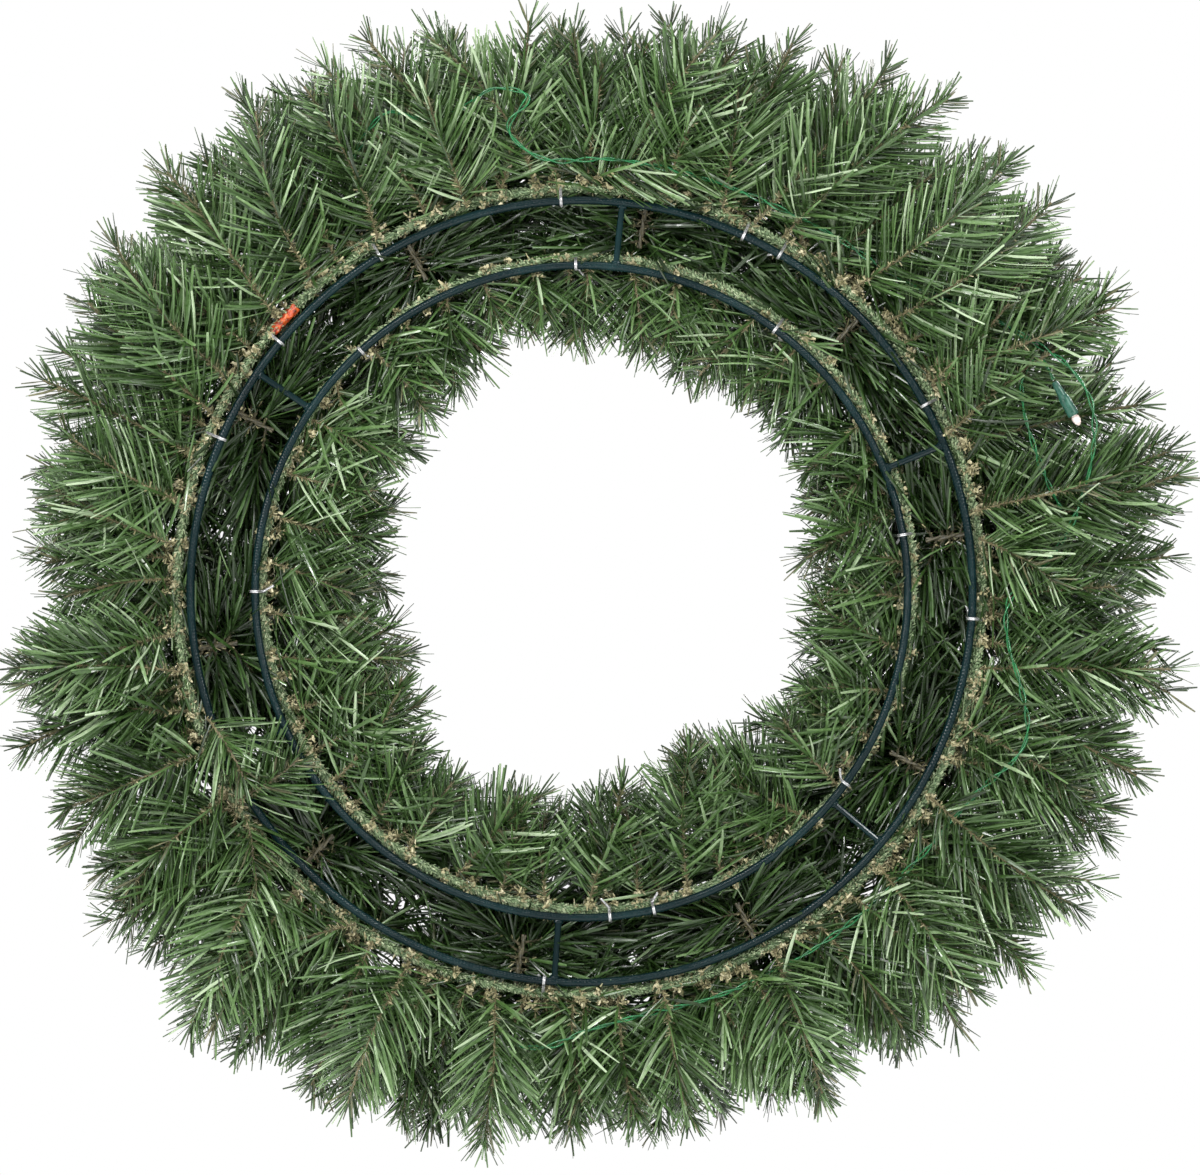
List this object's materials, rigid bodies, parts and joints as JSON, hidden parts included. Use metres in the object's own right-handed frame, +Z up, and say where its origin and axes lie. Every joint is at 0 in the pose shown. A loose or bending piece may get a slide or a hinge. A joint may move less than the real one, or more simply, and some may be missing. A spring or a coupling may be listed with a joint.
{
  "type": "artificial pine wreath on a double-ring wire frame",
  "caption": "Hanging artificial pine wreath: welded double-ring wire frame with cross bars, two tied-on garland stems, bendable needle boughs and a thin light string.",
  "frame": {"origin": "the hang point: underside of the outer ring's wire at its top, where a nail or hook carries the wreath", "axes": "+Z up, +Y towards the back (the wire frame side), -Y towards the leafy face, +X to the right as seen from the face"},
  "size_m": [0.6052, 0.1144, 0.6052],
  "materials": {
    "frame_paint": "dark blue-green powder coat, satin",
    "garland_stem": "twisted wire covered in chopped pale green film",
    "tie_wire": "pale silver tie wire",
    "tape": "orange-red tape, plain",
    "light_wire": "emerald green twin wire",
    "lamp_holder": "deep green translucent socket",
    "lamp": "clear miniature lamp, slightly warm",
    "foliage": "flat glossy PVC needles in mixed greens on brown wire"
  },
  "bodies": {
    "frame": {"outer_ring": "frame_paint", "inner_ring": "frame_paint", "cross_bar_1": "frame_paint", "cross_bar_2": "frame_paint", "cross_bar_3": "frame_paint", "cross_bar_4": "frame_paint", "cross_bar_5": "frame_paint", "cross_bar_6": "frame_paint", "outer_stem": "garland_stem", "inner_stem": "garland_stem", "twist_ties": "tie_wire", "tape_tag": "tape", "light_wire": "light_wire", "lamp_holder": "lamp_holder", "lamp": "lamp"},
    "outer_bough_01": {"outer_bough_01": "foliage"},
    "outer_bough_02": {"outer_bough_02": "foliage"},
    "outer_bough_03": {"outer_bough_03": "foliage"},
    "outer_bough_04": {"outer_bough_04": "foliage"},
    "outer_bough_05": {"outer_bough_05": "foliage"},
    "outer_bough_06": {"outer_bough_06": "foliage"},
    "outer_bough_07": {"outer_bough_07": "foliage"},
    "outer_bough_08": {"outer_bough_08": "foliage"},
    "outer_bough_09": {"outer_bough_09": "foliage"},
    "outer_bough_10": {"outer_bough_10": "foliage"},
    "outer_bough_11": {"outer_bough_11": "foliage"},
    "outer_bough_12": {"outer_bough_12": "foliage"},
    "outer_bough_13": {"outer_bough_13": "foliage"},
    "outer_bough_14": {"outer_bough_14": "foliage"},
    "outer_bough_15": {"outer_bough_15": "foliage"},
    "outer_bough_16": {"outer_bough_16": "foliage"},
    "outer_bough_17": {"outer_bough_17": "foliage"},
    "outer_bough_18": {"outer_bough_18": "foliage"},
    "outer_bough_19": {"outer_bough_19": "foliage"},
    "outer_bough_20": {"outer_bough_20": "foliage"},
    "inner_bough_01": {"inner_bough_01": "foliage"},
    "inner_bough_02": {"inner_bough_02": "foliage"},
    "inner_bough_03": {"inner_bough_03": "foliage"},
    "inner_bough_04": {"inner_bough_04": "foliage"},
    "inner_bough_05": {"inner_bough_05": "foliage"},
    "inner_bough_06": {"inner_bough_06": "foliage"},
    "inner_bough_07": {"inner_bough_07": "foliage"},
    "inner_bough_08": {"inner_bough_08": "foliage"},
    "inner_bough_09": {"inner_bough_09": "foliage"},
    "inner_bough_10": {"inner_bough_10": "foliage"},
    "inner_bough_11": {"inner_bough_11": "foliage"},
    "inner_bough_12": {"inner_bough_12": "foliage"},
    "inner_bough_13": {"inner_bough_13": "foliage"},
    "inner_bough_14": {"inner_bough_14": "foliage"},
    "front_bough_01": {"front_bough_01": "foliage"},
    "front_bough_02": {"front_bough_02": "foliage"},
    "front_bough_03": {"front_bough_03": "foliage"},
    "front_bough_04": {"front_bough_04": "foliage"},
    "front_bough_05": {"front_bough_05": "foliage"},
    "front_bough_06": {"front_bough_06": "foliage"},
    "front_bough_07": {"front_bough_07": "foliage"},
    "front_bough_08": {"front_bough_08": "foliage"},
    "front_bough_09": {"front_bough_09": "foliage"},
    "front_bough_10": {"front_bough_10": "foliage"}
  },
  "joints": [
    {"name": "outer_bough_01_bend", "type": "hinge", "parent": "frame", "child": "outer_bough_01", "pos_m": [-0.21049, -0.005, -0.2047], "axis": [-0.0087, 0, 1], "range_deg": [0, 35]},
    {"name": "outer_bough_02_bend", "type": "hinge", "parent": "frame", "child": "outer_bough_02", "pos_m": [-0.20071, -0.005, -0.13925], "axis": [0.3007, 0, 0.9537], "range_deg": [0, 35]},
    {"name": "outer_bough_03_bend", "type": "hinge", "parent": "frame", "child": "outer_bough_03", "pos_m": [-0.17119, -0.005, -0.08003], "axis": [0.5807, 0, 0.8141], "range_deg": [0, 35]},
    {"name": "outer_bough_04_bend", "type": "hinge", "parent": "frame", "child": "outer_bough_04", "pos_m": [-0.1248, -0.005, -0.03283], "axis": [0.8039, 0, 0.5948], "range_deg": [0, 35]},
    {"name": "outer_bough_05_bend", "type": "hinge", "parent": "frame", "child": "outer_bough_05", "pos_m": [-0.06611, -0.005, -0.00228], "axis": [0.9483, 0, 0.3173], "range_deg": [0, 35]},
    {"name": "outer_bough_06_bend", "type": "hinge", "parent": "frame", "child": "outer_bough_06", "pos_m": [-0.00085, -0.005, 0.00864], "axis": [1, 0, 0.0087], "range_deg": [0, 35]},
    {"name": "outer_bough_07_bend", "type": "hinge", "parent": "frame", "child": "outer_bough_07", "pos_m": [0.0646, -0.005, -0.00114], "axis": [0.9537, 0, -0.3007], "range_deg": [0, 35]},
    {"name": "outer_bough_08_bend", "type": "hinge", "parent": "frame", "child": "outer_bough_08", "pos_m": [0.12382, -0.005, -0.03067], "axis": [0.8141, 0, -0.5807], "range_deg": [0, 35]},
    {"name": "outer_bough_09_bend", "type": "hinge", "parent": "frame", "child": "outer_bough_09", "pos_m": [0.17102, -0.005, -0.07705], "axis": [0.5948, 0, -0.8039], "range_deg": [0, 35]},
    {"name": "outer_bough_10_bend", "type": "hinge", "parent": "frame", "child": "outer_bough_10", "pos_m": [0.20157, -0.005, -0.13574], "axis": [0.3173, 0, -0.9483], "range_deg": [0, 35]},
    {"name": "outer_bough_11_bend", "type": "hinge", "parent": "frame", "child": "outer_bough_11", "pos_m": [0.21249, -0.005, -0.201], "axis": [0.0087, 0, -1], "range_deg": [0, 35]},
    {"name": "outer_bough_12_bend", "type": "hinge", "parent": "frame", "child": "outer_bough_12", "pos_m": [0.20271, -0.005, -0.26645], "axis": [-0.3007, 0, -0.9537], "range_deg": [0, 35]},
    {"name": "outer_bough_13_bend", "type": "hinge", "parent": "frame", "child": "outer_bough_13", "pos_m": [0.17319, -0.005, -0.32567], "axis": [-0.5807, 0, -0.8141], "range_deg": [0, 35]},
    {"name": "outer_bough_14_bend", "type": "hinge", "parent": "frame", "child": "outer_bough_14", "pos_m": [0.12681, -0.005, -0.37287], "axis": [-0.8039, 0, -0.5948], "range_deg": [0, 35]},
    {"name": "outer_bough_15_bend", "type": "hinge", "parent": "frame", "child": "outer_bough_15", "pos_m": [0.06811, -0.005, -0.40342], "axis": [-0.9483, 0, -0.3173], "range_deg": [0, 35]},
    {"name": "outer_bough_16_bend", "type": "hinge", "parent": "frame", "child": "outer_bough_16", "pos_m": [0.00285, -0.005, -0.41434], "axis": [-1, 0, -0.0087], "range_deg": [0, 35]},
    {"name": "outer_bough_17_bend", "type": "hinge", "parent": "frame", "child": "outer_bough_17", "pos_m": [-0.0626, -0.005, -0.40456], "axis": [-0.9537, 0, 0.3007], "range_deg": [0, 35]},
    {"name": "outer_bough_18_bend", "type": "hinge", "parent": "frame", "child": "outer_bough_18", "pos_m": [-0.12182, -0.005, -0.37504], "axis": [-0.8141, 0, 0.5807], "range_deg": [0, 35]},
    {"name": "outer_bough_19_bend", "type": "hinge", "parent": "frame", "child": "outer_bough_19", "pos_m": [-0.16902, -0.005, -0.32865], "axis": [-0.5948, 0, 0.8039], "range_deg": [0, 35]},
    {"name": "outer_bough_20_bend", "type": "hinge", "parent": "frame", "child": "outer_bough_20", "pos_m": [-0.19957, -0.005, -0.26996], "axis": [-0.3173, 0, 0.9483], "range_deg": [0, 35]},
    {"name": "inner_bough_01_bend", "type": "hinge", "parent": "frame", "child": "inner_bough_01", "pos_m": [-0.16155, -0.0066, -0.13479], "axis": [-0.3746, 0, -0.9272], "range_deg": [0, 35]},
    {"name": "inner_bough_02_bend", "type": "hinge", "parent": "frame", "child": "inner_bough_02", "pos_m": [-0.11805, -0.0066, -0.07234], "axis": [-0.7398, 0, -0.6728], "range_deg": [0, 35]},
    {"name": "inner_bough_03_bend", "type": "hinge", "parent": "frame", "child": "inner_bough_03", "pos_m": [-0.05177, -0.0066, -0.03495], "axis": [-0.9585, 0, -0.2852], "range_deg": [0, 35]},
    {"name": "inner_bough_04_bend", "type": "hinge", "parent": "frame", "child": "inner_bough_04", "pos_m": [0.02417, -0.0066, -0.03002], "axis": [-0.9873, 0, 0.1589], "range_deg": [0, 35]},
    {"name": "inner_bough_05_bend", "type": "hinge", "parent": "frame", "child": "inner_bough_05", "pos_m": [0.09473, -0.0066, -0.05853], "axis": [-0.8206, 0, 0.5715], "range_deg": [0, 35]},
    {"name": "inner_bough_06_bend", "type": "hinge", "parent": "frame", "child": "inner_bough_06", "pos_m": [0.14594, -0.0066, -0.11483], "axis": [-0.4913, 0, 0.871], "range_deg": [0, 35]},
    {"name": "inner_bough_07_bend", "type": "hinge", "parent": "frame", "child": "inner_bough_07", "pos_m": [0.16764, -0.0066, -0.18777], "axis": [-0.0648, 0, 0.9979], "range_deg": [0, 35]},
    {"name": "inner_bough_08_bend", "type": "hinge", "parent": "frame", "child": "inner_bough_08", "pos_m": [0.15555, -0.0066, -0.26291], "axis": [0.3746, 0, 0.9272], "range_deg": [0, 35]},
    {"name": "inner_bough_09_bend", "type": "hinge", "parent": "frame", "child": "inner_bough_09", "pos_m": [0.11205, -0.0066, -0.32536], "axis": [0.7398, 0, 0.6728], "range_deg": [0, 35]},
    {"name": "inner_bough_10_bend", "type": "hinge", "parent": "frame", "child": "inner_bough_10", "pos_m": [0.04577, -0.0066, -0.36275], "axis": [0.9585, 0, 0.2852], "range_deg": [0, 35]},
    {"name": "inner_bough_11_bend", "type": "hinge", "parent": "frame", "child": "inner_bough_11", "pos_m": [-0.03017, -0.0066, -0.36768], "axis": [0.9873, 0, -0.1589], "range_deg": [0, 35]},
    {"name": "inner_bough_12_bend", "type": "hinge", "parent": "frame", "child": "inner_bough_12", "pos_m": [-0.10073, -0.0066, -0.33917], "axis": [0.8206, 0, -0.5715], "range_deg": [0, 35]},
    {"name": "inner_bough_13_bend", "type": "hinge", "parent": "frame", "child": "inner_bough_13", "pos_m": [-0.15194, -0.0066, -0.28287], "axis": [0.4913, 0, -0.871], "range_deg": [0, 35]},
    {"name": "inner_bough_14_bend", "type": "hinge", "parent": "frame", "child": "inner_bough_14", "pos_m": [-0.17364, -0.0066, -0.20993], "axis": [0.0648, 0, -0.9979], "range_deg": [0, 35]},
    {"name": "front_bough_01_bend", "type": "hinge", "parent": "frame", "child": "front_bough_01", "pos_m": [-0.19108, -0.0112, -0.17429], "axis": [-0.989, 0, 0.1478], "range_deg": [-10, 10]},
    {"name": "front_bough_02_bend", "type": "hinge", "parent": "frame", "child": "front_bough_02", "pos_m": [-0.1378, -0.0112, -0.06743], "axis": [-0.7133, 0, 0.7009], "range_deg": [-10, 10]},
    {"name": "front_bough_03_bend", "type": "hinge", "parent": "frame", "child": "front_bough_03", "pos_m": [-0.03189, -0.0112, -0.0123], "axis": [-0.165, 0, 0.9863], "range_deg": [-10, 10]},
    {"name": "front_bough_04_bend", "type": "hinge", "parent": "frame", "child": "front_bough_04", "pos_m": [0.08621, -0.0112, -0.02995], "axis": [0.4462, 0, 0.8949], "range_deg": [-10, 10]},
    {"name": "front_bough_05_bend", "type": "hinge", "parent": "frame", "child": "front_bough_05", "pos_m": [0.17137, -0.0112, -0.11364], "axis": [0.887, 0, 0.4617], "range_deg": [-10, 10]},
    {"name": "front_bough_06_bend", "type": "hinge", "parent": "frame", "child": "front_bough_06", "pos_m": [0.19108, -0.0112, -0.23141], "axis": [0.989, 0, -0.1478], "range_deg": [-10, 10]},
    {"name": "front_bough_07_bend", "type": "hinge", "parent": "frame", "child": "front_bough_07", "pos_m": [0.1378, -0.0112, -0.33827], "axis": [0.7133, 0, -0.7009], "range_deg": [-10, 10]},
    {"name": "front_bough_08_bend", "type": "hinge", "parent": "frame", "child": "front_bough_08", "pos_m": [0.03189, -0.0112, -0.3934], "axis": [0.165, 0, -0.9863], "range_deg": [-10, 10]},
    {"name": "front_bough_09_bend", "type": "hinge", "parent": "frame", "child": "front_bough_09", "pos_m": [-0.08621, -0.0112, -0.37575], "axis": [-0.4462, 0, -0.8949], "range_deg": [-10, 10]},
    {"name": "front_bough_10_bend", "type": "hinge", "parent": "frame", "child": "front_bough_10", "pos_m": [-0.17137, -0.0112, -0.29206], "axis": [-0.887, 0, -0.4617], "range_deg": [-10, 10]}
  ]
}
